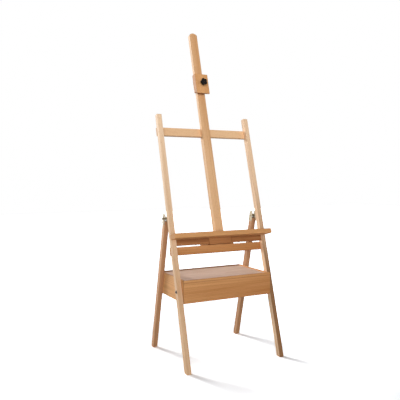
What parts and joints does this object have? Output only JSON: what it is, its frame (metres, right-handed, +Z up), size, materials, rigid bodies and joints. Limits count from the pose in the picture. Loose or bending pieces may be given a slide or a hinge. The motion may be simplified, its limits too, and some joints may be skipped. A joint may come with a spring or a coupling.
{
  "type": "studio easel",
  "caption": "Beech studio easel: leaning H-frame on a drawer case with splayed rear legs, a sliding canvas tray, and a mast with a clamped canvas holder.",
  "frame": {"origin": "on the floor, under the middle of the easel's bounding box", "axes": "+Z up, +Y from the front of the easel to its back, +X to the right as seen from the front"},
  "size_m": [0.6132, 0.5322, 1.8443],
  "materials": {
    "beech": "oiled",
    "beech_warm": "oiled",
    "birch_ply": "lacquered",
    "zinc_steel": "zinc plated",
    "dark_steel": "black oxide",
    "brass": "satin",
    "black_plastic": "moulded"
  },
  "bodies": {
    "base": {"case_side_left": "beech", "case_side_right": "beech", "case_back": "beech", "case_top_panel": "birch_ply", "case_bottom_panel": "birch_ply", "case_front_rail": "beech_warm", "drawer_runner_left": "beech", "drawer_runner_right": "beech", "case_screws": "zinc_steel", "case_inserts": "brass", "rear_leg_left": "beech", "rear_leg_right": "beech", "leg_bolts": "zinc_steel", "leg_fork_left": "zinc_steel", "leg_fork_right": "zinc_steel", "fork_screws": "zinc_steel", "fork_bolts": "zinc_steel", "link_spacers": "zinc_steel", "pivot_bolts": "dark_steel", "pivot_washers": "zinc_steel"},
    "drawer": {"drawer_front": "beech_warm", "drawer_side_left": "beech", "drawer_side_right": "beech", "drawer_back": "beech", "drawer_bottom": "birch_ply"},
    "wing_nut_left": {"wing_nut_left": "zinc_steel"},
    "wing_nut_right": {"wing_nut_right": "zinc_steel"},
    "frame": {"stile_left": "beech", "stile_right": "beech", "upper_crossbar": "beech", "lower_crossbar": "beech", "centre_rail": "beech", "crossbar_screws": "zinc_steel", "link_bracket_left": "zinc_steel", "link_bracket_right": "zinc_steel", "link_pins": "zinc_steel", "bracket_screws": "zinc_steel", "mast_clamp_bolt": "zinc_steel"},
    "tilt_link_left": {"tilt_link_left": "zinc_steel"},
    "tilt_link_right": {"tilt_link_right": "zinc_steel"},
    "mast_lock_knob": {"mast_lock_knob": "black_plastic"},
    "tray": {"ledge": "beech", "apron_left": "beech_warm", "apron_right": "beech_warm", "tray_block": "beech_warm", "tray_clamp_plate": "beech", "tray_dowels": "beech", "tray_clamp_stud": "zinc_steel"},
    "tray_lock_knob": {"tray_lock_knob": "black_plastic"},
    "mast": {"mast": "beech", "mast_guide_bolt": "zinc_steel"},
    "canvas_holder": {"canvas_holder": "beech", "holder_strap": "dark_steel", "holder_screws": "zinc_steel", "holder_insert": "brass"},
    "star_knob": {"star_knob": "black_plastic", "star_knob_stud": "zinc_steel"}
  },
  "joints": [
    {"name": "drawer_slide", "type": "slide", "parent": "base", "child": "drawer", "axis": [0, -1, 0], "range_m": [0, 0.24]},
    {"name": "frame_tilt", "type": "hinge", "parent": "base", "child": "frame", "pos_m": [0, -0.14217, 0.3895], "axis": [1, 0, 0], "range_deg": [-1, 4]},
    {"name": "tilt_link_left_pivot", "type": "hinge", "parent": "frame", "child": "tilt_link_left", "pos_m": [-0.2755, -0.01408, 0.74987], "axis": [1, 0, 0], "range_deg": [-18, 5]},
    {"name": "tilt_link_right_pivot", "type": "hinge", "parent": "frame", "child": "tilt_link_right", "pos_m": [0.2755, -0.01408, 0.74987], "axis": [1, 0, 0], "range_deg": [-18, 5]},
    {"name": "wing_nut_left_turn", "type": "hinge", "parent": "base", "child": "wing_nut_left", "pos_m": [-0.2915, 0.01961, 0.75687], "axis": [1, 0, 0], "continuous": true},
    {"name": "wing_nut_right_turn", "type": "hinge", "parent": "base", "child": "wing_nut_right", "pos_m": [0.2915, 0.01961, 0.75687], "axis": [1, 0, 0], "continuous": true},
    {"name": "tray_slide", "type": "slide", "parent": "frame", "child": "tray", "axis": [0, 0.2656, 0.9641], "range_m": [0, 0.28]},
    {"name": "mast_slide", "type": "slide", "parent": "tray", "child": "mast", "axis": [0, 0.2656, 0.9641], "range_m": [0, 0.22]},
    {"name": "canvas_holder_slide", "type": "slide", "parent": "mast", "child": "canvas_holder", "axis": [0, 0.2656, 0.9641], "range_m": [-0.2, 0.26]},
    {"name": "star_knob_turn", "type": "hinge", "parent": "canvas_holder", "child": "star_knob", "pos_m": [0, 0.12254, 1.52753], "axis": [0, -0.9641, 0.2656], "continuous": true},
    {"name": "mast_lock_knob_turn", "type": "hinge", "parent": "frame", "child": "mast_lock_knob", "pos_m": [0, 0.11796, 1.23071], "axis": [0, 0.9641, -0.2656], "continuous": true},
    {"name": "tray_lock_knob_turn", "type": "hinge", "parent": "tray", "child": "tray_lock_knob", "pos_m": [0, -0.03416, 0.62048], "axis": [0, 0.9641, -0.2656], "continuous": true}
  ],
  "couplings": [
    {"joint": "tilt_link_left_pivot", "follows": "frame_tilt", "ratio": -4.4},
    {"joint": "tilt_link_right_pivot", "follows": "frame_tilt", "ratio": -4.4}
  ]
}
